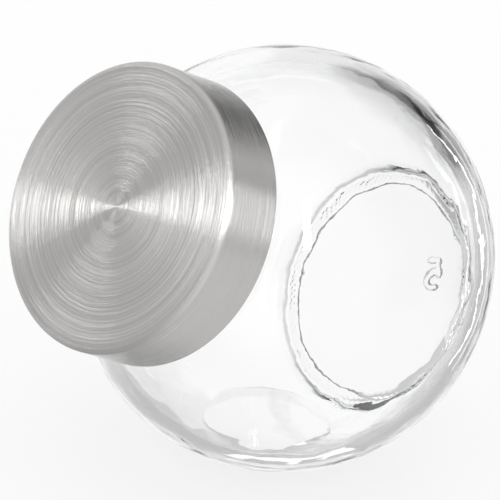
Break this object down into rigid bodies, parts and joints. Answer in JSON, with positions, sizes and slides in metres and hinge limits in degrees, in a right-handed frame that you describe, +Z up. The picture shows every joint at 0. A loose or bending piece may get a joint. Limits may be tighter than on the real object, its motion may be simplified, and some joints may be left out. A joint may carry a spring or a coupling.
{
  "type": "glass storage jar",
  "caption": "Ball-shaped clear glass storage jar with a brushed steel screw lid, tipped on its side flat so that the lid faces forward and up.",
  "frame": {"origin": "on the side flat that the jar rests on, straight below the middle of the ball", "axes": "+Z up. The lid faces -Y and 27.3 degrees up, and the large round base faces +Y and down. X runs across the jar, from one side to the other."},
  "size_m": [0.0762, 0.0887, 0.0785],
  "materials": {
    "clear_glass": "clear, very faintly green soda-lime glass",
    "brushed_steel": "satin, brushed in rings about the lid's axis",
    "insert_plastic": "plain off-white plastic"
  },
  "bodies": {
    "root": {"glass_jar": "clear_glass", "steel_lid": "brushed_steel", "lid_insert": "insert_plastic"}
  },
  "joints": []
}
